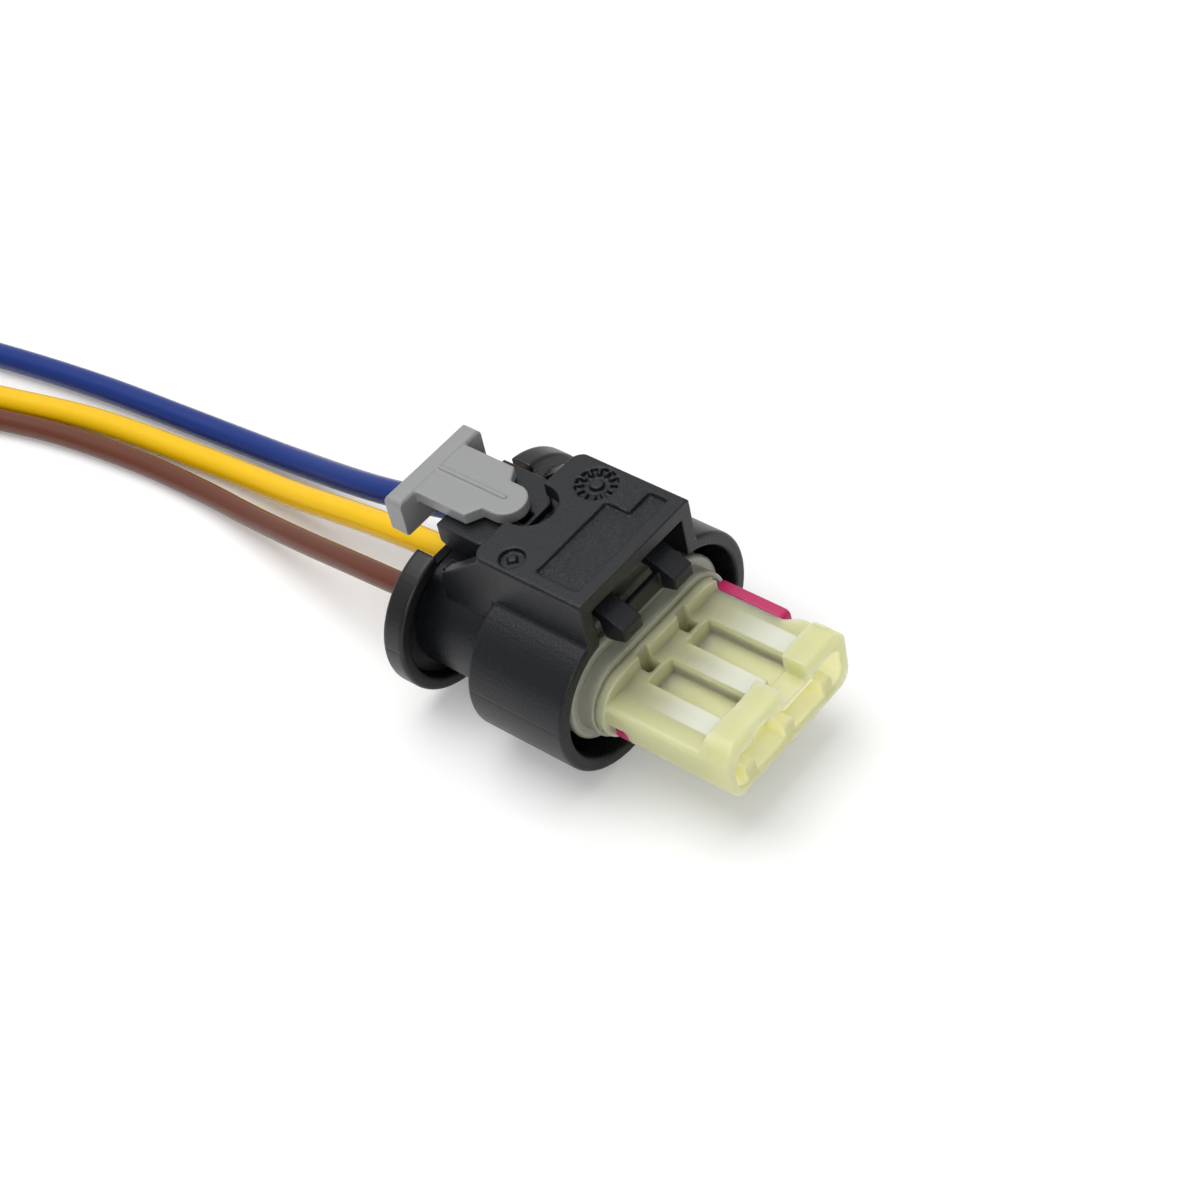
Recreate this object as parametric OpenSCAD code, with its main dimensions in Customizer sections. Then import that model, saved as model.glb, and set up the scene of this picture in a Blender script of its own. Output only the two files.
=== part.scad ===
// Sealed three-way in-line connector, the socket half, with a short three-wire lead.
// Lengths in millimetres. X runs across the wires, the mating mouth looks along -Y and
// the wires leave along +Y. While the pieces are drawn, Y = 0 is the rim of the shroud
// and Z = 0 is the axis of the plug; seat() then stands them on Z = 0.

/* [Shroud and neck] */
// Width of the oval shroud
shroud_w = 21; // [19.6:0.1:23]
// Height of the oval shroud
shroud_h = 12.9; // [12.5:0.1:14]
// Wall of the shroud
shroud_wall = 1.1; // [0.9:0.05:1.3]
// Length of the shroud along the plug
shroud_l = 8.8; // [8.4:0.1:10]
// Thickness of the bulkhead that closes the shroud
bulkhead_t = 1.2; // [1:0.1:1.6]
// Width of the neck behind the shroud
neck_w = 16.4; // [15.6:0.1:17]
// Height of the neck
neck_h = 9.6; // [8.8:0.1:9.7]
// Length of the neck
neck_l = 7; // [6.4:0.1:8]
// Rounding of the shroud's and neck's outer edges
edge_r = 0.3; // [0.15:0.05:0.4]

/* [Latch hood] */
// Width over the hood's side walls
hood_w = 12.2; // [11.6:0.1:13]
// Height of the hood's roof above the axis
hood_top = 10.1; // [9.9:0.1:11]
// Length of the roof
hood_l = 10; // [9.6:0.1:11]
// Side walls of the hood
hood_wall = 1.1; // [0.8:0.05:1.3]
// Thickness of the roof
roof_t = 1.25; // [0.9:0.05:1.4]
// Run of the sloping side walls behind the roof
tail_l = 3.7; // [3:0.1:4.4]
// Width of the notch in the roof that the slider enters
notch_w = 4.2; // [3.7:0.1:4.6]
// Depth of that notch
notch_d = 2.55; // [2.1:0.05:3]
// Depth of the moulded marks in the roof
mark_d = 0.35; // [0.1:0.05:0.4]

/* [Contact carrier] */
// Distance between neighbouring terminals
pitch = 4.4; // [4.2:0.05:4.5]
// Width of a square terminal chamber
chamber_w = 1.4; // [1.35:0.05:1.5]
// How far the nose stands out of the shroud
nose_l = 11.9; // [11:0.1:13]
// Width of the nose
nose_w = 14; // [13.6:0.1:14.4]
// Depth of the nose below the axis
nose_drop = 2.65; // [2.5:0.05:2.9]
// Length of the full-height head at the front of the nose
head_l = 2.4; // [2.2:0.1:3]
// Height of the head above the axis
head_top = 2.7; // [2.5:0.05:2.8]
// Height of the terminal ridges above the axis
ridge_top = 1.55; // [1.4:0.05:1.7]
// Width of the middle ridge
ridge_w = 1.85; // [1.75:0.05:2]
// Depth of the valleys beside the middle ridge
valley_d = 1.4; // [1.2:0.05:1.45]
// Width of the keyway through the head
key_w = 2.7; // [2.4:0.1:2.8]
// Rounding of the nose's front edges
front_r = 0.5; // [0.3:0.05:0.6]
// Depth of the mouth in the nose
mouth_l = 2; // [1.6:0.1:2.4]
// Wall round the mouth
mouth_wall = 0.8; // [0.6:0.05:1]
// Thickness of the collar that holds the seal
collar_t = 0.85; // [0.7:0.05:1.1]
// Length of the carrier inside the housing
root_l = 7; // [6.4:0.1:7.2]

/* [Core and seals] */
// Width of the core that carries the ring seal
core_w = 13.7; // [13.6:0.1:14]
// Height of the core
core_h = 5.3; // [5.2:0.05:5.6]
// Wall of the core
core_wall = 0.7; // [0.6:0.05:0.8]
// How far the collar and the seal lip stand out past the core
collar_lap = 0.35; // [0.2:0.05:0.5]
// Height of the ring seal's ribs over the core
seal_rib = 1.55; // [1.3:0.05:1.7]
// Length of the ring seal
seal_l = 4.6; // [4:0.1:5.4]
// Radius of the bores for the wire seals
seal_bore_r = 1.9; // [1.8:0.05:2]
// Depth of the bores for the wire seals
seal_bore_l = 5.9; // [5.4:0.1:6.2]
// Radius of the passages that the terminals go through
passage_r = 1.5; // [1.45:0.01:1.55]

/* [Latch and slider] */
// Width of the latch arms' frame
latch_w = 7.7; // [7:0.1:8.2]
// Width of one hook
hook_w = 2; // [1.7:0.1:2.3]
// How far the hooks stand out of the hood
hook_out = 1.4; // [1:0.1:1.8]
// Height of a hook
hook_h = 1.25; // [1:0.05:1.4]
// Radius of the torsion bar that the latch rocks on
torsion_r = 0.6; // [0.45:0.05:0.7]
// Distance of the torsion bar behind the shroud's rim
rock_y = 6.2; // [5.6:0.1:6.8]
// Height of the torsion bar above the axis
rock_z = 7.2; // [7:0.05:7.4]
// Height of the thumb pad's top above the axis
pad_top = 8.4; // [8.2:0.05:8.6]
// Thickness of the thumb pad
pad_t = 1.7; // [1.6:0.05:1.8]
// Width of the thumb pad
pad_w = 7.6; // [7:0.1:8]
// Travel of the slider from open to locked
cpa_travel = 2.5; // [2.2:0.1:2.8]
// Thickness of the slider's tongue
tongue_t = 1; // [0.8:0.05:1.2]
// Width of the slider's tongue
tongue_w = 5.6; // [5.2:0.1:6]
// Width of the slider's nose
tip_w = 3.2; // [2.8:0.1:3.3]
// Width of the slider's push plate
plate_w = 9; // [8.4:0.1:9.6]
// Height of the slider's push plate
plate_h = 3.4; // [3:0.1:3.8]
// Thickness of the slider's push plate
plate_t = 1.6; // [1.2:0.1:2]

/* [Secondary lock] */
// Travel of the secondary lock from locked to open
lock_travel = 1.9; // [1.8:0.05:2]
// Width of the lock's bar along the plug
lock_bar_w = 1.3; // [1.1:0.05:1.4]
// Height of the lock's bar
lock_bar_h = 0.7; // [0.5:0.05:0.75]
// Length of the lock's handle along the plug
handle_l = 6.3; // [5.4:0.1:6.4]
// Height of the lock's handle
handle_h = 3; // [2.4:0.1:3.1]
// Thickness of the lock's handle
handle_t = 1; // [0.8:0.05:1.1]

/* [Terminals and wires] */
// Thickness of the steel over-spring
spring_t = 0.12; // [0.1:0.01:0.15]
// Diameter of the yellow and blue wires over their insulation
wire_d = 2.15; // [1.8:0.05:2.2]
// Diameter of the brown wire, which is thinner
slim_wire_d = 1.85; // [1.6:0.05:2.2]
// Diameter of the bare strands
strand_d = 1.1; // [0.9:0.05:1.3]
// Length of the stripped end
strip_l = 5; // [3:0.5:8]

/* [Rear cover] */
// How far the rear cover stands out past each side of the shroud
cover_out = 0.3; // [0.1:0.05:0.5]
// Height of the rear cover
cover_h = 12.9; // [12.2:0.1:13.2]
// How far the rear cover sits above the plug's axis
cover_lift = 0.45; // [0.4:0.05:0.7]
// Thickness of the rear cover's plate
cover_t = 0.8; // [0.7:0.05:1]
// Depth of the rear cover's rim, plate included
cover_l = 1.9; // [1.6:0.05:2.4]
// Wall of the rear cover's rim
cover_wall = 1.1; // [0.8:0.05:1.3]

/* [Hidden] */
$fn = 48;

// How far a cut runs past a face, and the clearance between pieces that seat
past = 0.1;
seat_gap = 0.05;

// Half sizes and stations along the plug, front to back
cavities = [-pitch, 0, pitch];
wires = [slim_wire_d, wire_d, wire_d];
shroud_r = shroud_h / 2;
shroud_run = (shroud_w - shroud_h) / 2;
neck_r = neck_h / 2;
neck_run = (neck_w - neck_h) / 2;
core_r = core_h / 2;
core_run = (core_w - core_h) / 2;
core_in_r = core_r - core_wall;
root_r = core_in_r - seat_gap;
nose_y = -nose_l;
mouth_y = nose_y + mouth_l;
sill_t = 0.6;
chamber_y = mouth_y + sill_t;
collar_back = -collar_lap;
collar_front = collar_back - collar_t;
root_y = collar_back + root_l;
core_floor_y = root_y + seat_gap;
bulkhead_y = shroud_l - bulkhead_t;
neck_end = shroud_l + neck_l;
seal_bore_y = neck_end - seal_bore_l;
cover_back = neck_end + cover_t;
cover_r = cover_h / 2;
cover_run = shroud_w / 2 + cover_out - cover_r;
cpa_gap = cpa_travel + 0.1;
pad_back = 15.6;
plate_front = pad_back + cpa_gap;
plate_back = plate_front + plate_t;
axis_h = shroud_r;
mid_y = (plate_back + nose_y) / 2;

// Stands the plug on its shroud, with the middle of its length over the origin
module seat() {
    translate([0, -mid_y, axis_h]) children();
}

// Rectangle between two corners whose own corners are arcs of radius r
module soft_rect(low, high, r) {
    translate([low.x + r, low.y]) square([high.x - low.x - 2 * r, high.y - low.y]);
    translate([low.x, low.y + r]) square([high.x - low.x, high.y - low.y - 2 * r]);
    for (x = [low.x + r, high.x - r], y = [low.y + r, high.y - r])
        translate([x, y]) circle(r);
}

// A section drawn in X and Z, carried along the plug from y0 to y1
module along(y0, y1) {
    translate([0, y1, 0]) rotate([90, 0, 0]) linear_extrude(y1 - y0) children();
}

// A side view drawn in Y and Z, carried across the plug between x0 and x1
module across(x0, x1) {
    translate([x0, 0, 0]) rotate([90, 0, 90]) linear_extrude(x1 - x0) children();
}

// An oval: two half circles of radius r whose centres are 2 * run apart
module oval(run, r) {
    square([2 * run, 2 * r], center = true);
    for (s = [-1, 1]) translate([s * run, 0]) circle(r);
}

// A profile of distance from the oval's spine (x) and place along the plug (y),
// carried round the oval
module round_oval(run) {
    for (turn = [0, 180]) rotate([0, turn, 0]) {
        translate([run, 0, 0]) rotate([-90, -90, 0]) rotate_extrude(angle = 180) children();
        translate([run, 0, 0]) rotate([0, -90, 0]) linear_extrude(2 * run) children();
    }
}

// A profile of radius (x) and place along the plug (y), turned round a wire's axis
module turned(x) {
    translate([x, 0, 0]) rotate([-90, 0, 0]) rotate_extrude() children();
}

// --- Housing: shroud, bulkhead, core, neck and the hood that guards the latch ---

hood_half = hood_w / 2;
hood_in = hood_half - hood_wall;
roof_under = hood_top - roof_t;
tail_end = hood_l + tail_l;
arch_z = 5.6;
pad_room = 4;
cover_gap = hood_in + 0.3;
guard_top = 5.6;
cover_front = cover_back - cover_l;
seam_w = 0.12;
seam_z = 1;
snap_x = 2.4;
snap_w = 1.6;
snap_l = 3.2;
snap_y = neck_end - snap_l;
snap_d = 0.4;
roof_corner = 1.2;
slope_y = hood_l - 1;

// A side wall of the hood, seen from the side: it slopes down behind the roof
module hood_side() {
    polygon([
        [0, arch_z], [0, hood_top], [slope_y, hood_top],
        [tail_end - 0.1, hood_top - tail_l], [tail_end, neck_r / 2],
        [shroud_l - past, neck_r / 2], [shroud_l - past, arch_z],
    ]);
}

// The roof seen from above: round rear corners and the notch for the slider
module roof_plan() {
    notch_r = notch_w / 2;
    difference() {
        union() {
            soft_rect([-hood_half, 0], [hood_half, hood_l], roof_corner);
            translate([-hood_half, 0]) square([hood_w, roof_corner]);
        }
        translate([0, hood_l - notch_d + notch_r]) {
            circle(notch_r);
            translate([-notch_r, 0]) square([notch_w, notch_d]);
        }
    }
}

module hood_shell() {
    intersection() {
        union() {
            translate([0, 0, arch_z]) linear_extrude(hood_top - arch_z) roof_plan();
            across(-hood_half, past - hood_in) hood_side();
            across(hood_in - past, hood_half) hood_side();
        }
        along(0, tail_end) soft_rect([-hood_half, 0], [hood_half, hood_top], edge_r);
    }
}

// Marks in the roof: a plain dial with ticks, a small disc and a stepped panel
dial_r = 1.6;
dial_x = hood_half - 2.1;
dial_y = 6.65;
tick_l = 0.45;
tick_w = 0.22;
hub_r = 0.5;
disc_r = 0.95;
disc_x = -4.7;
disc_y = 7.2;
boss_w = 0.6;
panel_y = 1.2;
panel_left = -4.85;
panel_right = 2.9;
panel_back = 4.9;
step_right = 5.2;
step_back = 2.8;

module roof_marks() {
    translate([0, 0, hood_top - mark_d]) linear_extrude(mark_d + past) {
        translate([dial_x, dial_y]) difference() {
            circle(dial_r);
            for (a = [0 : 30 : 330]) rotate(a)
                translate([dial_r - tick_l - 0.15, -tick_w / 2]) square([tick_l, tick_w]);
            circle(hub_r);
        }
        translate([disc_x, disc_y]) difference() {
            circle(disc_r);
            rotate(45) square(boss_w, center = true);
        }
    }
    translate([0, 0, hood_top - 0.8 * mark_d]) linear_extrude(mark_d + past) {
        soft_rect([panel_left, panel_y], [panel_right, panel_back], 0.2);
        translate([panel_right - 0.3, panel_y])
            square([step_right - panel_right + 0.3, step_back - panel_y]);
    }
}

module housing() color([0.17, 0.18, 0.2]) seat() {
    difference() {
        union() {
            // shroud, with the parting line of its mould along both sides
            round_oval(shroud_run)
                soft_rect([shroud_r - shroud_wall, 0], [shroud_r, shroud_l], edge_r);
            hood_shell();
            // bulkhead
            along(bulkhead_y, shroud_l - past) difference() {
                oval(shroud_run, shroud_r - shroud_wall / 2);
                oval(neck_run, neck_r - past);
            }
        }
        // room for the latch: through the shroud's top, the bulkhead and out at the back
        across(-hood_in, hood_in) polygon([
            [-past, arch_z - 1], [-past, roof_under], [hood_l + past, roof_under],
            [hood_l + past, hood_top + past], [tail_end + past, hood_top + past],
            [tail_end + past, neck_r / 2 - past], [bulkhead_y + past, neck_r / 2 - past],
            [bulkhead_y + past, arch_z - 1],
        ]);
        roof_marks();
        for (s = [-1, 1]) along(-past, shroud_l + past)
            translate([s * (shroud_run + sqrt(shroud_r * shroud_r - seam_z * seam_z)), seam_z])
                rotate(45) square(seam_w, center = true);
    }
    difference() {
        union() {
            along(bulkhead_y, shroud_l - past) difference() {
                oval(shroud_run, arch_z - past);
                translate([-shroud_w, arch_z - past]) square([2 * shroud_w, shroud_r]);
            }
            along(collar_back, bulkhead_y + past) oval(core_run, core_r);
            along(bulkhead_y, neck_end) oval(neck_run, neck_r);
            // guards beside the thumb pad
            for (x = [-pad_room - hood_wall, pad_room])
                along(shroud_l - past, cover_front - past)
                    translate([x, 0]) square([hood_wall, guard_top]);
        }
        // socket for the carrier's root, then passages and bores for the wire seals
        along(collar_back - past, core_floor_y) oval(core_run, core_in_r);
        for (x = cavities) turned(x) {
            translate([0, root_y]) square([passage_r, seal_bore_y]);
            translate([0, seal_bore_y]) square([seal_bore_r, seal_bore_l + past]);
        }
        // pockets for the rear cover's hooks
        for (s = [-1, 1])
            along(snap_y - seat_gap, snap_y + 1)
                translate([s * snap_x - snap_w / 2 - seat_gap, -neck_r - past])
                    square([snap_w + 2 * seat_gap, snap_d + past]);
    }
}

// --- Rear cover: a cup snapped on the neck, with a hole for each wire ---

module rear_cover() color([0.15, 0.16, 0.18]) seat() {
    rim_in = cover_r - cover_wall;
    snap_top = neck_r + 0.1;
    difference() {
        union() {
            translate([0, 0, cover_lift]) {
                round_oval(cover_run)
                    soft_rect([rim_in, cover_front], [cover_r, cover_back], edge_r);
                along(neck_end, cover_back) oval(cover_run, rim_in + edge_r);
            }
            // two hooks that run forward under the neck
            for (s = [-1, 1]) across(s * snap_x - snap_w / 2, s * snap_x + snap_w / 2)
                polygon([
                    [neck_end + past, -snap_top], [snap_y + 0.9, -snap_top],
                    [snap_y + 0.9, -snap_top + 0.4], [snap_y + 0.7, -snap_top + 0.4],
                    [snap_y, -snap_top], [snap_y, -snap_top - 0.5],
                    [neck_end + past, -snap_top - 0.5],
                ]);
        }
        for (i = [0 : 2]) turned(cavities[i])
            translate([0, neck_end - past])
                square([wires[i] / 2 + 0.15, cover_t + 2 * past]);
        // cut away round the thumb pad, so that it can be pressed
        along(cover_front - past, cover_back + past)
            translate([-cover_gap, neck_r + seat_gap]) square([2 * cover_gap, cover_r]);
        // parting line of its mould
        for (s = [-1, 1]) along(cover_front - past, cover_back + past)
            translate([s * (cover_run + sqrt(cover_r * cover_r - seam_z * seam_z)),
                       cover_lift + seam_z]) rotate(45) square(seam_w, center = true);
    }
}

// --- Ring seal on the core, ribbed, with a lip behind the carrier's collar ---

module interface_seal() color([0.62, 0.62, 0.56]) seat() {
    in_r = core_r + 0.02;
    web_r = core_r + 0.75;
    rib_r = core_r + seal_rib;
    bead = 0.35;
    round_oval(core_run) {
        translate([in_r, collar_back]) square([web_r - in_r, seal_l]);
        for (i = [0 : 2]) {
            rib_y = collar_back + 1.2 + bead + i * (seal_l - 1.2 - 2 * bead) / 2;
            translate([rib_r - bead, rib_y]) circle(bead);
            translate([web_r - past, rib_y - bead])
                square([rib_r - bead - web_r + past, 2 * bead]);
        }
    }
}

// --- Contact carrier: nose, collar and the root that plugs into the core ---

nose_half = nose_w / 2;
head_y = nose_y + head_l;
valley_z = ridge_top - valley_d;
valley_end = collar_front - 1.1;
key_x = -0.15;
key_z = ridge_top - 0.5;
lock_back = collar_front - 0.1;
lock_front = lock_back - lock_bar_w;
bar_top = -1.05;
bar_low = bar_top - lock_bar_h;
tooth_top = -0.3;
rear_bore_r = 1.15;
recess_x = nose_half - 0.9;
handle_back = collar_back - 0.25;
handle_front = handle_back - handle_l;
rib_w = 1;
rib_y = nose_y + 0.15;
rib_r = 0.4;
rib_top = -0.55;
lip_x = -3.9;
lip_w = 1.9;

// Section of the head: large round corners below, smaller ones above
module head_section() {
    low_r = 2.3;
    high_r = 1.5;
    soft_rect([-nose_half, -nose_drop], [nose_half, head_top - 0.5], low_r);
    soft_rect([-nose_half, -0.4], [nose_half, head_top], high_r);
    translate([-nose_half, low_r - nose_drop])
        square([nose_w, head_top - high_r + nose_drop - low_r]);
}

module carrier_body() {
    // nose, with its front edges rounded seen from the side and from above
    intersection() {
        union() {
            along(nose_y, head_y) head_section();
            along(head_y - past, collar_front + past) intersection() {
                head_section();
                soft_rect([-nose_half, -nose_w], [nose_half, ridge_top], 0.4);
            }
        }
        across(-nose_half, nose_half)
            soft_rect([nose_y, -nose_drop], [collar_front + 1, head_top], front_r);
        translate([0, 0, -nose_drop]) linear_extrude(head_top + nose_drop)
            soft_rect([-nose_half, nose_y], [nose_half, collar_front + 1], front_r);
    }
    along(collar_front, collar_back) oval(core_run + 0.35, core_r + 0.2);
    along(collar_back - past, root_y) oval(core_run, root_r);
}

// Mouth, with a beam left standing under the keyway and a rib below each terminal
module mouth() difference() {
    along(nose_y - past, mouth_y) {
        soft_rect([mouth_wall - nose_half, mouth_wall - nose_drop],
                  [nose_half - mouth_wall, ridge_top], 1.2);
        translate([lip_x, 0]) square([lip_w, ridge_top + 0.4]);
    }
    translate([key_x, nose_y + 0.4, key_z - 0.55]) cube([key_w + 0.7, mouth_l, nose_l]);
    for (x = cavities) across(x - rib_w / 2, x + rib_w / 2) {
        translate([rib_y, -nose_drop])
            square([mouth_l, rib_top - rib_r + nose_drop]);
        translate([rib_y + rib_r, rib_top - rib_r]) circle(rib_r);
        translate([rib_y + rib_r, -nose_drop]) square([mouth_l, rib_top + nose_drop]);
    }
}

module contact_carrier() color([0.81, 0.83, 0.62]) seat() difference() {
    carrier_body();
    // valleys beside the middle ridge; the right one steps up into the keyway
    for (x = [-pitch / 2, pitch / 2]) {
        w = pitch - ridge_w;
        along(head_y - past, valley_end)
            translate([x - w / 2, valley_z]) square([w, nose_l]);
        // pocket behind the valley, sunk into the collar's front
        translate([x - 0.6, collar_front - 0.75, valley_z]) cube([1.2, 1.15, nose_l]);
    }
    along(nose_y - past, head_y) translate([key_x, key_z]) square([key_w, nose_l]);
    translate([key_x, nose_y - 0.1, key_z - 0.7]) cube([key_w, 0.5, nose_l]);
    mouth();
    for (x = cavities) {
        along(mouth_y - past, chamber_y + past) translate([x, 0]) square(0.9, center = true);
        along(chamber_y, lock_back) translate([x, 0]) square(chamber_w, center = true);
        turned(x) translate([0, lock_back - past]) square([rear_bore_r, root_l + nose_l]);
    }
    // channel for the secondary lock and the notch that shows its tip
    translate([-nose_half - past, lock_front - 0.05, bar_low - 0.05])
        cube([2 * nose_half, lock_bar_w + 0.1, tooth_top - bar_low + 0.1]);
    translate([-nose_half - past, lock_front - 0.2, -nose_drop - past])
        cube([1, lock_back - lock_front + 0.3, nose_drop - 0.3]);
    // recess for the lock's handle, with a ramp in front of it
    translate([0, 0, -nose_half]) linear_extrude(nose_w) polygon([
        [recess_x, handle_front - 0.1], [nose_half + past, handle_front - 1.5],
        [nose_half + 1, handle_front - 1.5], [nose_half + 1, handle_back + 0.05],
        [recess_x, handle_back + 0.05],
    ]);
}

// --- Secondary lock: a comb that slides in across the nose behind the terminals ---

module secondary_lock() color([0.75, 0.12, 0.37]) seat() {
    handle_x = recess_x + 0.02;
    across(handle_x, handle_x + handle_t)
        soft_rect([handle_front, -handle_h / 2], [handle_back, handle_h / 2], 0.5);
    translate([0.4 - nose_half, lock_front, bar_low])
        cube([nose_half - 0.4 + handle_x + past, lock_bar_w, lock_bar_h]);
    for (x = cavities) translate([x - 0.8, lock_front, bar_top - past])
        cube([1.6, lock_bar_w, tooth_top - bar_top + past]);
}

// --- Latch lever: hooks, arms, torsion bar and thumb pad in one ---

arm_out = latch_w / 2;
arm_in = arm_out - hook_w;
arm_top = 7.8;
arm_low = 6.6;
hook_low = arm_low - hook_h;
hook_top = hook_low + 1.05;
bridge_low = hook_low - 0.45;
pad_low = pad_top - pad_t;
pad_front = 9.6;
key_low = pad_top - 1.1;
key_head = 0.6;

module latch_lever() color([0.16, 0.17, 0.19]) seat() difference() {
    union() {
        // arms with the hooks
        for (x = [-arm_out, arm_in]) across(x, x + hook_w) polygon([
            [-hook_out, hook_low], [-hook_out, hook_top], [1.8, arm_top],
            [pad_front + 0.5, arm_top], [pad_front + 0.5, arm_low],
            [0.9, arm_low], [0.5, bridge_low], [0, bridge_low],
        ]);
        across(-arm_in - past, arm_in + past)
            translate([0, bridge_low]) square([0.5, hook_top - bridge_low]);
        // web between the arms, and the bar that twists
        translate([-arm_in - past, rock_y - 1, arm_low])
            cube([2 * (arm_in + past), pad_front - rock_y + 1.5, arm_top - arm_low]);
        translate([-hood_in + 0.03, rock_y, rock_z]) rotate([0, 90, 0])
            cylinder(h = 2 * (hood_in - 0.03), r = torsion_r);
        // thumb pad
        intersection() {
            across(-pad_w / 2, pad_w / 2) polygon([
                [pad_front, pad_low], [pad_front, pad_top], [pad_back, pad_top],
                [pad_back, pad_low], [pad_back - 1.3, pad_low - 0.7], [pad_front, pad_low],
            ]);
            linear_extrude(pad_top) polygon([
                [-2, pad_front], [2, pad_front], [pad_w / 2, pad_front + 1.9],
                [pad_w / 2, pad_back], [-pad_w / 2, pad_back], [-pad_w / 2, pad_front + 1.9],
            ]);
        }
    }
    // T-slot for the slider's key
    along(pad_front + 0.4, pad_back + past) {
        translate([-0.6, key_low]) square([1.2, 2]);
        translate([-1.1, key_low - 0.1]) square([2.2, key_head + 0.2]);
    }
}

// --- Slider that locks the latch, drawn in its open place ---

tongue_low = pad_top + 0.1;
tongue_top = tongue_low + tongue_t;
tip_y = hood_l - notch_d + 0.35 + cpa_travel;

module cpa_slider() color([0.62, 0.63, 0.64]) seat() {
    tip_r = tip_w / 2;
    shoulder = 13.2;
    // tongue with its shoulders and round tip
    translate([0, 0, tongue_low]) linear_extrude(tongue_t) {
        translate([0, tip_y + tip_r]) circle(tip_r);
        translate([-tip_r, tip_y + tip_r]) square([tip_w, shoulder - tip_y]);
        polygon([
            [-tip_r, shoulder - 0.4], [tip_r, shoulder - 0.4],
            [tongue_w / 2, shoulder + 0.3], [tongue_w / 2, plate_front + past],
            [-tongue_w / 2, plate_front + past], [-tongue_w / 2, shoulder + 0.3],
        ]);
    }
    // rib along the middle of the tongue
    along(tip_y + tip_r, plate_front + past)
        translate([-0.15, tongue_top - past]) square([0.3, 0.15 + past]);
    // push plate
    plate_top = tongue_top + 0.1;
    intersection() {
        along(plate_front, plate_back)
            soft_rect([-plate_w / 2, plate_top - plate_h], [plate_w / 2, plate_top], 0.5);
        across(-plate_w, plate_w)
            soft_rect([plate_front, plate_top - plate_h], [plate_back, plate_top], 0.3);
    }
    // key that runs in the pad's slot
    along(tip_y + 2.5, plate_front + past) {
        translate([-0.5, key_low + past]) square([1, tongue_low - key_low]);
        translate([-1, key_low]) square([2, key_head]);
    }
}

// --- Terminals, over-springs and wire seals ---

spring_out = chamber_w - 0.08;
spring_in = spring_out - 2 * spring_t;
box_w = spring_in - 0.02;
box_front = chamber_y + 0.05;
box_back = lock_front - 0.1;
cup_y = core_floor_y + 0.9;

module terminal(x) color([0.8, 0.8, 0.78]) seat() {
    // box that grips the mating blade
    translate([x, 0, 0]) {
        along(box_front, box_back - 0.25) difference() {
            square(box_w, center = true);
            square(box_w - 0.36, center = true);
        }
        along(box_back - 0.3, box_back) square(box_w, center = true);
        // folded strip up to the crimp
        along(box_back - past, 1.1) difference() {
            translate([-0.5, tooth_top + 0.06]) square([1, 0.75]);
            translate([-0.3, tooth_top + 0.26]) square([0.6, 1]);
        }
    }
    // crimped barrel and the cup that holds the seal
    turned(x) polygon([
        [0, 1], [0.9, 1], [0.9, core_floor_y], [passage_r - 0.03, cup_y],
        [passage_r - 0.03, seal_bore_y - 0.1], [passage_r - 0.18, seal_bore_y - 0.1],
        [passage_r - 0.18, cup_y], [0, cup_y],
    ]);
}
module terminal_left() terminal(-pitch);
module terminal_centre() terminal(0);
module terminal_right() terminal(pitch);

module over_spring(x) color([0.7, 0.72, 0.73]) seat() translate([x, 0, 0])
    along(box_front + 0.05, box_back - 0.35) difference() {
        square(spring_out, center = true);
        square(spring_in, center = true);
    }
module over_spring_left() over_spring(-pitch);
module over_spring_centre() over_spring(0);
module over_spring_right() over_spring(pitch);

module wire_seal(x, d) color([0.55, 0.55, 0.52]) seat() {
    bore_r = d / 2 + 0.01;
    web_r = seal_bore_r - 0.33;
    body_y = seal_bore_y + 0.1;
    body_l = seal_bore_l - 0.6;
    turned(x) {
        translate([bore_r, cup_y + 0.3])
            square([passage_r - 0.2 - bore_r, body_y - cup_y - 0.2]);
        translate([bore_r, body_y]) square([web_r - bore_r, body_l]);
        for (i = [0 : 2]) translate([web_r, body_y + 0.35 + i * (body_l - 0.7) / 2])
            circle(0.31);
    }
}
module wire_seal_left() wire_seal(-pitch, slim_wire_d);
module wire_seal_centre() wire_seal(0, wire_d);
module wire_seal_right() wire_seal(pitch, wire_d);

// --- Wires: each runs straight out of its seal, sinks to the bench and lies on it ---

// A stop on a route: sideways from the terminal, behind the rear cover, share of the drop
route_brown = [
    [0, 0, 1], [0, 3, 0.98], [0.25, 8.5, 0.84], [1.1, 16.7, 0.49], [2, 23.7, 0.19],
    [2.6, 30.3, 0.03], [2.4, 38, 0], [1.2, 47.1, 0], [-1.2, 56.5, 0], [-4.5, 68.4, 0],
    [-6.8, 81, 0], [-7.7, 97, 0], [-7, 114, 0], [-4.9, 131, 0],
];
route_yellow = [
    [0, 0, 1], [0, 3, 0.98], [0.3, 11.2, 0.74], [0.8, 21, 0.3], [1.1, 27.3, 0.08],
    [0.9, 33.1, 0], [-0.3, 44, 0], [-2.6, 54, 0], [-6.2, 68, 0],
    [-8, 83, 0], [-8.4, 100, 0], [-7.3, 117, 0], [-4.6, 134, 0],
];
route_blue = [
    [0, 0, 1], [-0.1, 4, 0.97], [-0.8, 14.4, 0.6], [-0.3, 24.4, 0.17], [-0.3, 31, 0.02],
    [-0.7, 37, 0], [-1.6, 47.3, 0], [-3.2, 58.3, 0], [-5.4, 69, 0],
    [-7.2, 84, 0], [-7.8, 102, 0], [-6.7, 120, 0], [-3.8, 137, 0],
];
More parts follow.
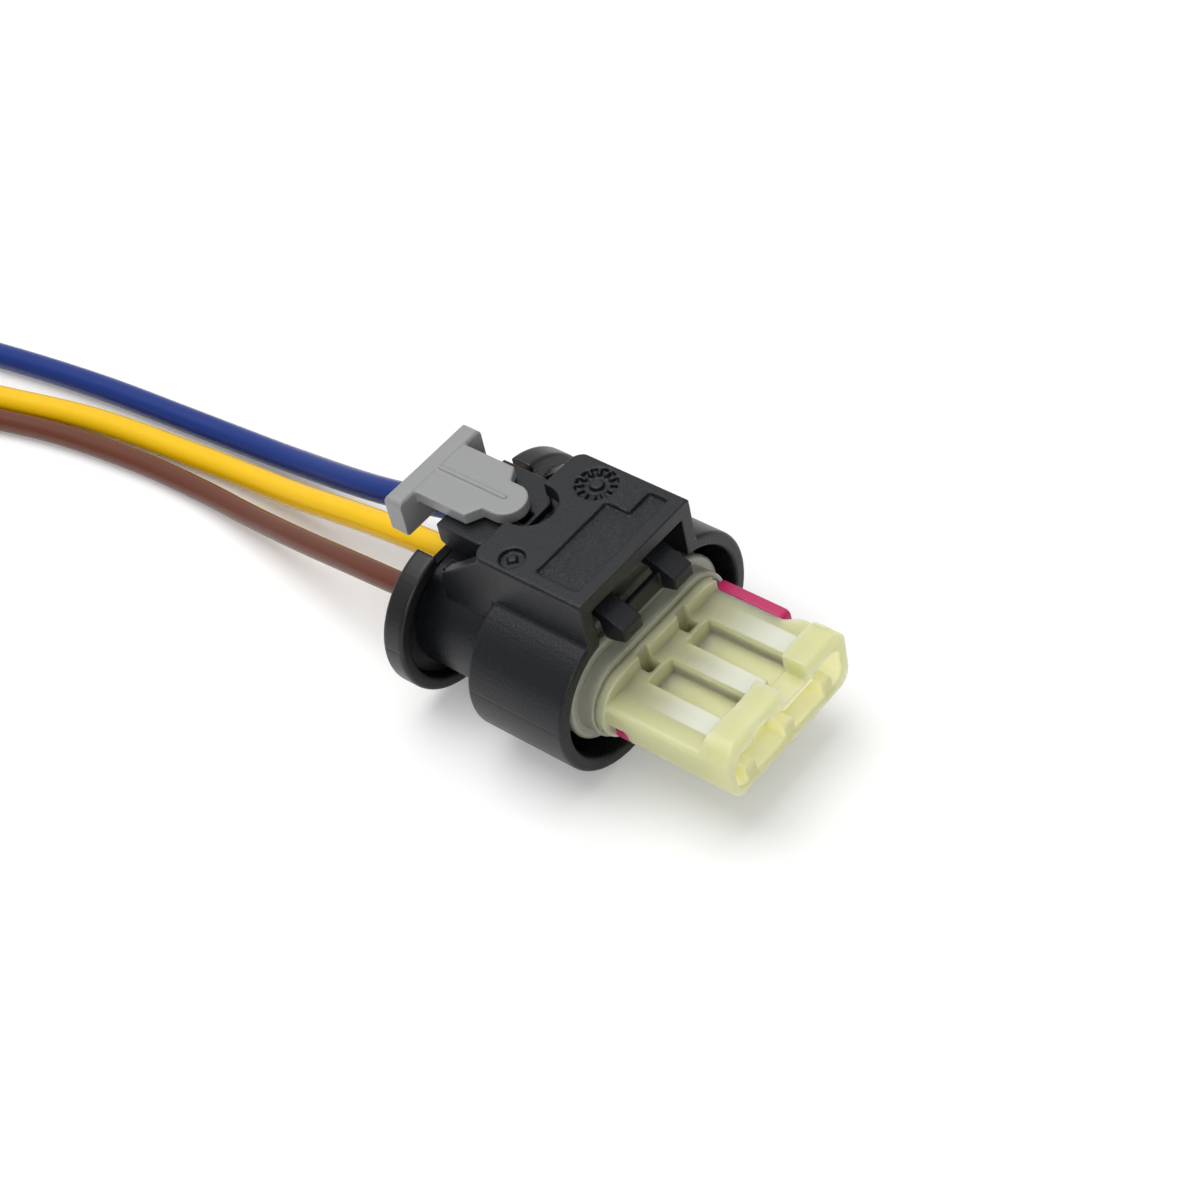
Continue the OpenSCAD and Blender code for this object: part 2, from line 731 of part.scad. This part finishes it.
// Stops in the drawing's frame, and a smooth curve through them
function stops(x, d, route) = concat(
    [[x, cup_y + 0.05, 0]],
    [for (p = route) [x + p.x, cover_back + p.y, (p.z - 1) * (axis_h - d / 2 - 0.02)]]
);
function near(p, i) = p[max(0, min(len(p) - 1, i))];
function bend(p, i, t) =
    let (a = near(p, i - 1), b = near(p, i), c = near(p, i + 1), d = near(p, i + 2))
    0.5 * (2 * b + (c - a) * t + (2 * a - 5 * b + 4 * c - d) * t * t
           + (3 * b - a - 3 * c + d) * t * t * t);
function smooth_line(p) = concat(
    [p[0], p[1]],
    [for (i = [1 : len(p) - 2], t = [1 / 3, 2 / 3, 1]) bend(p, i, t)]
);
function unit(v) = v / norm(v);

// A tube along a line of points
module tube(line, r, sides = 8) {
    last = len(line) - 1;
    rings = [for (i = [0 : last])
        let (dir = i == 0 ? [0, 1, 0] : unit(near(line, i + 1) - line[i - 1]),
             side = unit(cross(dir, [0, 0, 1])),
             up = cross(side, dir))
        for (k = [0 : sides - 1])
            let (a = (k + 0.5) * 360 / sides) line[i] + r * (cos(a) * side + sin(a) * up)];
    polyhedron(rings, concat(
        [[for (k = [0 : sides - 1]) k]],
        [for (i = [0 : last - 1], k = [0 : sides - 1])
            let (n = (k + 1) % sides, o = i * sides)
            each [[o + k, o + sides + k, o + sides + n], [o + k, o + sides + n, o + n]]],
        [[for (k = [sides - 1 : -1 : 0]) last * sides + k]]
    ));
}
module wire(x, d, route) seat() tube(smooth_line(stops(x, d, route)), d / 2);
module strand_end(x, d, route) color([0.78, 0.5, 0.32]) seat() {
    line = smooth_line(stops(x, d, route));
    last = line[len(line) - 1];
    run = last - line[len(line) - 2];
    translate(last) rotate([-90, 0, -atan2(run.x, run.y)]) cylinder(h = strip_l, d = strand_d);
}
module wire_brown() color([0.42, 0.24, 0.19]) wire(-pitch, slim_wire_d, route_brown);
module wire_yellow() color([0.96, 0.78, 0.16]) wire(0, wire_d, route_yellow);
module wire_blue() color([0.1, 0.22, 0.52]) wire(pitch, wire_d, route_blue);
module strand_end_brown() strand_end(-pitch, slim_wire_d, route_brown);
module strand_end_yellow() strand_end(0, wire_d, route_yellow);
module strand_end_blue() strand_end(pitch, wire_d, route_blue);

housing();
rear_cover();
interface_seal();
contact_carrier();
secondary_lock();
latch_lever();
cpa_slider();
terminal_left();
terminal_centre();
terminal_right();
over_spring_left();
over_spring_centre();
over_spring_right();
wire_seal_left();
wire_seal_centre();
wire_seal_right();
wire_brown();
wire_yellow();
wire_blue();
strand_end_brown();
strand_end_yellow();
strand_end_blue();
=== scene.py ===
import bmesh
import bpy
import numpy as np
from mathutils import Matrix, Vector


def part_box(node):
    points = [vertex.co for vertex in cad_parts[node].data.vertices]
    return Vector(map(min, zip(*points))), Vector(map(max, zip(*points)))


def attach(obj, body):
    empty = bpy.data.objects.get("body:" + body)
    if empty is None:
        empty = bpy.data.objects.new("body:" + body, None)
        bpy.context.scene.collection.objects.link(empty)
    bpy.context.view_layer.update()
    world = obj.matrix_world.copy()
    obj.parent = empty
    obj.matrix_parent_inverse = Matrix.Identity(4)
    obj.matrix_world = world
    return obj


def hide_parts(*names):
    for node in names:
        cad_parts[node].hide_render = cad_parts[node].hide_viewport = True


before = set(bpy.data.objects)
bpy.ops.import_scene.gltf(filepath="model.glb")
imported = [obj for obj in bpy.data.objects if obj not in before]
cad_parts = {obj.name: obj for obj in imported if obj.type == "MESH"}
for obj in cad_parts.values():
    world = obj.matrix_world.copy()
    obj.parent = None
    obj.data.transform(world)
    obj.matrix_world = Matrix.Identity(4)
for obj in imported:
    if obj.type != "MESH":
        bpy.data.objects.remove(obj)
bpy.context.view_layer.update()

# Bench, studio light and camera.
# The plug lies on a plain white bench, under a large soft lamp, a weak one in front and a
# pale sky. The camera looks down on the mating end from the front left.
scene = bpy.context.scene
scene.view_settings.view_transform = "Standard"


def nodes_of(material):
    """The node tree of a material and its Principled shader."""
    return material.node_tree, material.node_tree.nodes["Principled BSDF"]


def new_material(name, colour, roughness, **sockets):
    """A Principled material with its plain values set on the shader's own sockets."""
    material = bpy.data.materials.new(name)
    material.use_nodes = True
    shader = nodes_of(material)[1]
    shader.inputs["Base Color"].default_value = (*colour, 1)
    shader.inputs["Roughness"].default_value = roughness
    for socket, value in sockets.items():
        shader.inputs[socket.replace("_", " ")].default_value = value
    return material


def feed(tree, socket, value):
    """Link socket to value where that is another node's output, or else set it."""
    if isinstance(value, bpy.types.NodeSocket):
        tree.links.new(value, socket)
    else:
        socket.default_value = value


def sum_of(tree, operation, *values):
    """The result of a Math node on values, each a number or another node's output."""
    node = tree.nodes.new("ShaderNodeMath")
    node.operation = operation
    for socket, value in zip(node.inputs, values):
        feed(tree, socket, value)
    return node.outputs[0]


def ramp_of(tree, value, start, end, low=0, high=1, curve="LINEAR"):
    """low where value is at start, high where it is at end, and a rise between them."""
    node = tree.nodes.new("ShaderNodeMapRange")
    node.interpolation_type = curve
    node.inputs["From Min"].default_value = start
    node.inputs["From Max"].default_value = end
    node.inputs["To Min"].default_value = low
    node.inputs["To Max"].default_value = high
    tree.links.new(value, node.inputs["Value"])
    return node.outputs[0]


bench_half = 3.0
bench_lift = 0.16
bench_mesh = bpy.data.meshes.new("bench")
bench_mesh.from_pydata(
    [(x * bench_half, y * bench_half, 0) for x, y in ((-1, -1), (1, -1), (1, 1), (-1, 1))],
    [],
    [(0, 1, 2, 3)],
)
bench = bpy.data.objects.new("bench", bench_mesh)
scene.collection.objects.link(bench)
bench_white = new_material(
    "bench_white", (0.86, 0.86, 0.86), 0.9, Specular_IOR_Level=0.1, Emission_Color=(1, 1, 1, 1)
)
tree, shader = nodes_of(bench_white)
# the bench is lifted to white only for the rays that show it
rays = tree.nodes.new("ShaderNodeLightPath")
seen = rays.outputs["Is Camera Ray"]
for ray in ("Is Glossy Ray", "Is Transmission Ray"):
    seen = sum_of(tree, "MAXIMUM", seen, rays.outputs[ray])
feed(tree, shader.inputs["Emission Strength"], sum_of(tree, "MULTIPLY", seen, bench_lift))
bench_mesh.materials.append(bench_white)

world = bpy.data.worlds.new("sky")
scene.world = world
world.use_nodes = True
sky = world.node_tree.nodes["Background"]
sky.inputs["Color"].default_value = (1, 1, 1, 1)
# the sky is pale over the wires and dim in front of the mating end
pale_side = (0.45, 0.60, 0.66)
sky_dim, sky_pale = 0.24, 0.8
turn = world.node_tree.nodes.new("ShaderNodeTexCoord")
toward = world.node_tree.nodes.new("ShaderNodeVectorMath")
toward.operation = "DOT_PRODUCT"
toward.inputs[1].default_value = pale_side
world.node_tree.links.new(turn.outputs["Generated"], toward.inputs[0])
pale = ramp_of(world.node_tree, toward.outputs["Value"], -0.2, 1, sky_dim, sky_pale)
feed(world.node_tree, sky.inputs["Strength"], pale)


def soft_lamp(name, place, size, watts):
    """A square area lamp at place, aimed at the middle of the plug."""
    data = bpy.data.lights.new(name, "AREA")
    data.size = size
    data.energy = watts
    lamp = bpy.data.objects.new(name, data)
    aim = np.array([0, 0, 0.006]) - place
    lamp.rotation_mode = "QUATERNION"
    lamp.rotation_quaternion = Vector(aim).to_track_quat("-Z", "Y")
    lamp.location = place
    scene.collection.objects.link(lamp)


soft_lamp("top_lamp", place=np.array([0.01, 0.10, 0.40]), size=0.34, watts=0.98)
soft_lamp("front_lamp", place=np.array([-0.21, -0.19, 0.20]), size=0.14, watts=0.3)

lens_data = bpy.data.cameras.new("camera")
lens_data.sensor_width = 36
lens_data.lens = 85.32
lens_data.clip_start = 0.01
camera = bpy.data.objects.new("camera", lens_data)
camera.location = (-0.09357, -0.10559, 0.15375)
camera.rotation_euler = (0.76194, 0.16157, -0.88912)
scene.collection.objects.link(camera)
scene.camera = camera

# Housing.
# One black moulding of glass-filled nylon: oval shroud, bulkhead, neck and the square hood
# that guards the latch. Its faces are spark-eroded matt and every edge is softly rounded.
MM = 0.001


def moulded(node, body, voxel, soften, keep):
    """A copy of a CAD node with softly rounded edges: its surface is taken again on a
    grid of voxel mm, each point is moved soften times half way to the mean of its
    neighbours, and flat stretches are thinned to the share keep of their faces."""
    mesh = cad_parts[node].data.copy()
    mesh.materials.clear()
    joined = bmesh.new()
    joined.from_mesh(mesh)
    bmesh.ops.remove_doubles(joined, verts=joined.verts, dist=1e-6)
    bmesh.ops.scale(joined, vec=(1 / MM,) * 3, verts=joined.verts)
    joined.to_mesh(mesh)
    joined.free()
    work = bpy.data.objects.new(node + "_work", mesh)
    scene.collection.objects.link(work)
    grid = work.modifiers.new("grid", "REMESH")
    grid.mode = "VOXEL"
    grid.voxel_size = voxel
    grid.use_smooth_shade = True
    round_off = work.modifiers.new("round_off", "SMOOTH")
    round_off.factor = 0.5
    round_off.iterations = soften
    thin = work.modifiers.new("thin", "DECIMATE")
    thin.ratio = keep
    flats = work.modifiers.new("flats", "WEIGHTED_NORMAL")
    flats.weight = 100
    shape = bpy.data.meshes.new_from_object(
        work.evaluated_get(bpy.context.evaluated_depsgraph_get())
    )
    bpy.data.objects.remove(work)
    corners = np.empty(len(shape.vertices) * 3, np.float32)
    shape.vertices.foreach_get("co", corners)
    shape.vertices.foreach_set("co", corners * MM)
    shape.polygons.foreach_set("use_smooth", np.ones(len(shape.polygons), bool))
    piece = bpy.data.objects.new(node + "_moulding", shape)
    scene.collection.objects.link(piece)
    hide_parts(node)
    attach(piece, body)
    return piece


def add_grain(material, scale_mm, height_mm):
    """Fine bumps of about scale_mm across and height_mm high, on Object coordinates."""
    tree, shader = nodes_of(material)
    place = tree.nodes.new("ShaderNodeTexCoord")
    noise = tree.nodes.new("ShaderNodeTexNoise")
    noise.inputs["Scale"].default_value = 1 / (scale_mm * MM)
    noise.inputs["Detail"].default_value = 2
    bump = tree.nodes.new("ShaderNodeBump")
    bump.inputs["Distance"].default_value = height_mm * MM
    tree.links.new(place.outputs["Object"], noise.inputs["Vector"])
    tree.links.new(noise.outputs[0], bump.inputs["Height"])
    tree.links.new(bump.outputs["Normal"], shader.inputs["Normal"])
    return place.outputs["Object"], noise.outputs[0], bump


def inside_box(tree, place, low, high, soft):
    """1 inside the box from low to high (mm) and 0 outside, with edges soft mm wide."""
    apart = tree.nodes.new("ShaderNodeSeparateXYZ")
    tree.links.new(place, apart.inputs[0])
    inside = 1
    for axis, edges in enumerate(zip(low, high)):
        for edge, half in zip(edges, (soft / 2, -soft / 2)):
            past = ramp_of(tree, apart.outputs[axis], (edge - half) * MM, (edge + half) * MM)
            inside = sum_of(tree, "MULTIPLY", past, inside)
    return inside


housing = moulded("housing", "plug", voxel=0.085, soften=2, keep=0.22)
black_nylon = new_material(
    "black_nylon", (0.0068, 0.0078, 0.0100), 0.38, Specular_IOR_Level=0.32
)
place, fine, bump = add_grain(black_nylon, 0.17, 0.03)
tree, shader = nodes_of(black_nylon)
# the roof panel's wrinkle: thin winding ridges where a warped noise crosses its middle
wrinkle_mm = 0.42
wrinkle = tree.nodes.new("ShaderNodeTexNoise")
wrinkle.inputs["Scale"].default_value = 1 / (wrinkle_mm * MM)
wrinkle.inputs["Detail"].default_value = 1.5
wrinkle.inputs["Distortion"].default_value = 1.2
tree.links.new(place, wrinkle.inputs["Vector"])
ridge = ramp_of(tree, wrinkle.outputs[0], 0.44, 0.56)
fold = sum_of(tree, "PINGPONG", ridge, 0.5)
nose_l = 11.9
nose_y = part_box("contact_carrier")[0][1] / MM
shroud_y = nose_y + nose_l
panel = inside_box(tree, place, (-5.2, shroud_y + 0.9, 15.5), (5.4, shroud_y + 5.1, 17), 0.4)
feed(tree, bump.inputs["Height"], sum_of(tree, "MULTIPLY_ADD", fold, panel, fine))
housing.data.materials.append(black_nylon)

# Rear cover.
# A shallow black cup that snaps on the neck and holds the wire seals in. It is moulded of
# the same nylon, with a smoother finish than the housing.
rear_cover = moulded("rear_cover", "plug", voxel=0.1, soften=3, keep=0.4)
cover_nylon = new_material(
    "cover_nylon", (0.0080, 0.0084, 0.0094), 0.36, Specular_IOR_Level=0.4
)
add_grain(cover_nylon, 0.2, 0.008)
rear_cover.data.materials.append(cover_nylon)

# Ring seal.
# Grey translucent silicone on the core behind the nose, with three ribs. Light sinks a
# little way into it.
seal_silicone = new_material(
    "seal_silicone", (0.36, 0.365, 0.29), 0.26,
    Subsurface_Weight=0.7, Subsurface_Scale=0.0015, Subsurface_Radius=(1, 1, 1),
)
add_grain(seal_silicone, 0.5, 0.01)
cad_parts["interface_seal"].data.materials.clear()
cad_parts["interface_seal"].data.materials.append(seal_silicone)

# Contact carrier.
# Pale yellow-green nylon, unpainted and a little translucent: nose, collar and root in one
# moulding. Steel over-springs lie under the thin tops of its chambers. The light that comes
# through those tops, through the walls round the valleys and into the mouth is painted into
# its colour, with a faint painted glow in the mouth.
carrier = moulded("contact_carrier", "plug", voxel=0.08, soften=3, keep=0.3)
carrier_colour = (0.55, 0.56, 0.30)
band_light_colour = (0.72, 0.735, 0.60)
valley_light_colour = (0.82, 0.82, 0.43)
mouth_light_colour = (0.97, 0.91, 0.47)
# the emission colour serves only the painted glow in the mouth
carrier_nylon = new_material(
    "carrier_nylon", carrier_colour, 0.36,
    Subsurface_Weight=1.0, Subsurface_Scale=0.0055, Subsurface_Radius=(1.0, 1.0, 0.7),
    Emission_Color=(1, 0.95, 0.45, 1),
)
place = add_grain(carrier_nylon, 0.6, 0.01)[0]
tree, shader = nodes_of(carrier_nylon)


def tinted(tree, share, base, tint):
    """The colour base turned to tint by share, where base may be a node's output."""
    node = tree.nodes.new("ShaderNodeMix")
    node.data_type = "RGBA"
    tree.links.new(share, node.inputs["Factor"])
    feed(tree, node.inputs["A"], base)
    node.inputs["B"].default_value = (*tint, 1)
    return node.outputs["Result"]


# painted light: pale bands over the springs, where light comes through the thin chamber tops,
# painted brightest behind the head and fading to the collar
pitch = 4.4
band_half = 0.86
apart = tree.nodes.new("ShaderNodeSeparateXYZ")
tree.links.new(place, apart.inputs[0])
band_light_fade = ramp_of(tree, apart.outputs["Y"], (shroud_y - 2.2) * MM, (shroud_y - 8.2) * MM,
               curve="SMOOTHSTEP")
colour, band_lights = (*carrier_colour, 1), 0
for x in (-pitch, 0, pitch):
    band_light_mask = inside_box(tree, place, (x - band_half, shroud_y - 9.5, 7.8),
                      (x + band_half, shroud_y - 1.8, 8.3), 0.16)
    share = sum_of(tree, "MULTIPLY", band_light_mask, band_light_fade)
    colour = tinted(tree, share, colour, band_light_colour)
    band_lights = sum_of(tree, "ADD", band_lights, share)
# painted light: the valleys beside the middle ridge are painted paler for light through the thin
# walls round them, which lifts the shade in them
valley_light_mask = inside_box(tree, place, (-3.55, shroud_y - 9.4, 6.3), (3.55, shroud_y - 2.4, 7.7), 0.3)
colour = tinted(tree, valley_light_mask, colour, valley_light_colour)
# painted light: a deeper, paler yellow inside the mouth, where light has come through more of the
# nylon, lifting the shade there
mouth_light_mask = inside_box(tree, place, (-6.6, nose_y + 0.3, 4.4), (6.6, nose_y + 2.3, 7.2), 0.3)
colour = tinted(tree, mouth_light_mask, colour, mouth_light_colour)
feed(tree, shader.inputs["Base Color"], colour)
# painted glow: the mouth gives off a faint light of its own, standing in for light through the
# nylon
mouth_painted_glow = 0.09
feed(tree, shader.inputs["Emission Strength"], sum_of(tree, "MULTIPLY", mouth_light_mask, mouth_painted_glow))
# the painted light bands lie on the springs, so light sinks less far into the nylon there
band_block = 0.8
sink = sum_of(tree, "MULTIPLY_ADD", band_lights, -band_block, 1.0)
feed(tree, shader.inputs["Subsurface Weight"], sink)
carrier.data.materials.append(carrier_nylon)

# Secondary lock.
# A magenta comb of nylon that slides in across the nose behind the terminals. Its broad
# flank stands in the nose's side window.
lock = moulded("secondary_lock", "lock", voxel=0.07, soften=8, keep=0.4)
lock_nylon = new_material("lock_nylon", (0.50, 0.012, 0.11), 0.35)
add_grain(lock_nylon, 0.4, 0.006)
lock.data.materials.append(lock_nylon)

# Latch lever.
# Two hooks in front, arms under the hood, the torsion bar and the thumb pad, of the same
# black nylon as the housing.
latch = moulded("latch_lever", "latch", voxel=0.08, soften=3, keep=0.4)
latch.data.materials.append(black_nylon)

# Position-assurance slider.
# Grey nylon with a smooth satin face: tongue with a round tip, rib and push plate. It
# slides over the latch's pad and blocks it when it is pushed home.
slider = moulded("cpa_slider", "cpa", voxel=0.07, soften=6, keep=0.4)
slider_nylon = new_material("slider_nylon", (0.275, 0.277, 0.28), 0.34)
add_grain(slider_nylon, 0.25, 0.004)
slider.data.materials.append(slider_nylon)

# Terminals, over-springs and wire seals.
# Tinned copper boxes crimped on the wires, steel springs round them, and a ribbed
# silicone plug on each wire. They are closed in.
tinned = new_material("tinned_copper", (0.75, 0.73, 0.68), 0.3, Metallic=1.0)
add_grain(tinned, 0.3, 0.004)
spring_steel = new_material("spring_steel", (0.62, 0.62, 0.63), 0.25, Metallic=1.0)
add_grain(spring_steel, 0.2, 0.003)
plug_silicone = new_material("plug_silicone", (0.36, 0.36, 0.33), 0.45)
add_grain(plug_silicone, 0.4, 0.006)
for node, finish in (("terminal", tinned), ("over_spring", spring_steel),
                     ("wire_seal", plug_silicone)):
    for side in ("left", "centre", "right"):
        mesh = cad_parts[f"{node}_{side}"].data
        mesh.materials.clear()
        mesh.materials.append(finish)

# Wires.
# Three leads with smooth coloured insulation. Each runs straight out of its seal, sinks to
# the bench and lies on it; the far end is stripped and its strands are twisted.
cover_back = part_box("rear_cover")[1][1] / MM
cup_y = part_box("terminal_centre")[1][1] / MM
axis_h = 6.45
crimp_gap = 0.05
bench_gap = 0.02
# stops of each lead: mm beside its seal, mm behind the cover, and its height, from 0 on
# the bench to 1 on the plug's axis
routes = {
    "brown": [
        (0, 0, 1), (0, 3, 0.98), (0.25, 8.5, 0.84), (1.1, 16.7, 0.49), (2, 23.7, 0.19),
        (2.6, 30.3, 0.03), (2.4, 38, 0), (1.2, 47.1, 0), (-1.2, 56.5, 0), (-4.5, 68.4, 0),
        (-6.8, 81, 0), (-7.7, 97, 0), (-7, 114, 0), (-4.9, 131, 0)],
    "yellow": [
        (0, 0, 1), (0, 3, 0.98), (0.3, 11.2, 0.74), (0.8, 21, 0.3), (1.1, 27.3, 0.08),
        (0.9, 33.1, 0), (-0.3, 44, 0), (-2.6, 54, 0), (-6.2, 68, 0),
        (-8, 83, 0), (-8.4, 100, 0), (-7.3, 117, 0), (-4.6, 134, 0)],
    "blue": [
        (0, 0, 1), (-0.1, 4, 0.97), (-0.8, 14.4, 0.6), (-0.3, 24.4, 0.17), (-0.3, 31, 0.02),
        (-0.7, 37, 0), (-1.6, 47.3, 0), (-3.2, 58.3, 0), (-5.4, 69, 0),
        (-7.2, 84, 0), (-7.8, 102, 0), (-6.7, 120, 0), (-3.8, 137, 0)],
}


def smooth_route(stops, steps):
    """A curve through the stops: on each stretch, the cubic whose slope at a stop is half
    the step between that stop's neighbours, at steps places."""
    stops = np.vstack([stops[:1], stops, stops[-1:]])
    a, b, c, d = (stops[i : len(stops) - 3 + i, None] for i in range(4))
    t = (np.arange(steps) / steps)[None, :, None]
    line = 0.5 * (2 * b + (c - a) * t + (2 * a - 5 * b + 4 * c - d) * t**2
                  + (3 * b - a - 3 * c + d) * t**3)
    return np.vstack([line.reshape(-1, 3), stops[-1:]])


def tube(line, radius, sides):
    """Rings of radius round each point of line, square to the line's run, as vertices and
    faces, with a fan of faces at each end to close it."""
    run = np.gradient(line, axis=0)
    run /= np.linalg.norm(run, axis=1)[:, None]
    side = np.cross(run, (0, 0, 1))
    side /= np.linalg.norm(side, axis=1)[:, None]
    up = np.cross(side, run)
    angle = np.arange(sides) * 2 * np.pi / sides
    rings = line[:, None] + radius * (
        np.cos(angle)[None, :, None] * side[:, None] + np.sin(angle)[None, :, None] * up[:, None])
    points = np.vstack([rings.reshape(-1, 3), line[:1], line[-1:]])
    i, k = np.meshgrid(np.arange(len(line) - 1), np.arange(sides), indexing="ij")
    n = (k + 1) % sides
    walls = np.stack([i * sides + k, i * sides + n, (i + 1) * sides + n,
                      (i + 1) * sides + k], -1).reshape(-1, 4)
    k, n = k[0], n[0]
    first, last = np.full(sides, len(points) - 2), np.full(sides, len(points) - 1)
    base = (len(line) - 1) * sides
    caps = np.vstack([np.stack([first, n, k], -1), np.stack([last, base + k, base + n], -1)])
    return points, walls.tolist() + caps.tolist()


def new_piece(name, points, faces, material):
    """A smooth mesh object of the points (mm) and faces, with its normals outwards."""
    mesh = bpy.data.meshes.new(name)
    mesh.from_pydata((points * MM).tolist(), [], faces)
    outward = bmesh.new()
    outward.from_mesh(mesh)
    bmesh.ops.recalc_face_normals(outward, faces=outward.faces)
    outward.to_mesh(mesh)
    outward.free()
    mesh.polygons.foreach_set("use_smooth", np.ones(len(mesh.polygons), bool))
    mesh.materials.append(material)
    piece = bpy.data.objects.new(name, mesh)
    scene.collection.objects.link(piece)
    return piece


copper = new_material("bare_copper", (0.72, 0.38, 0.22), 0.3, Metallic=1.0)
add_grain(copper, 0.2, 0.003)
for name, x, thick, colour in (
    ("brown", -pitch, 1.85, (0.130, 0.036, 0.018)),
    ("yellow", 0.0, 2.15, (0.90, 0.54, 0.001)),
    ("blue", pitch, 2.15, (0.002, 0.026, 0.20)),
):
    fall = axis_h - thick / 2 - bench_gap
    stops = np.array([(x, cup_y + crimp_gap, axis_h)] + [
        (x + beside, cover_back + behind, axis_h + (height - 1) * fall)
        for beside, behind, height in routes[name]])
    line = smooth_route(stops, 12)
    points, faces = tube(line, thick / 2, 24)
    insulation = new_material(f"insulation_{name}", colour, 0.27, Specular_IOR_Level=0.36)
    add_grain(insulation, 0.7, 0.012)
    wire = new_piece(f"lead_{name}", points, faces, insulation)
    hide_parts(f"wire_{name}")
    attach(wire, "plug")
    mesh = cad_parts[f"strand_end_{name}"].data
    mesh.materials.clear()
    mesh.materials.append(copper)
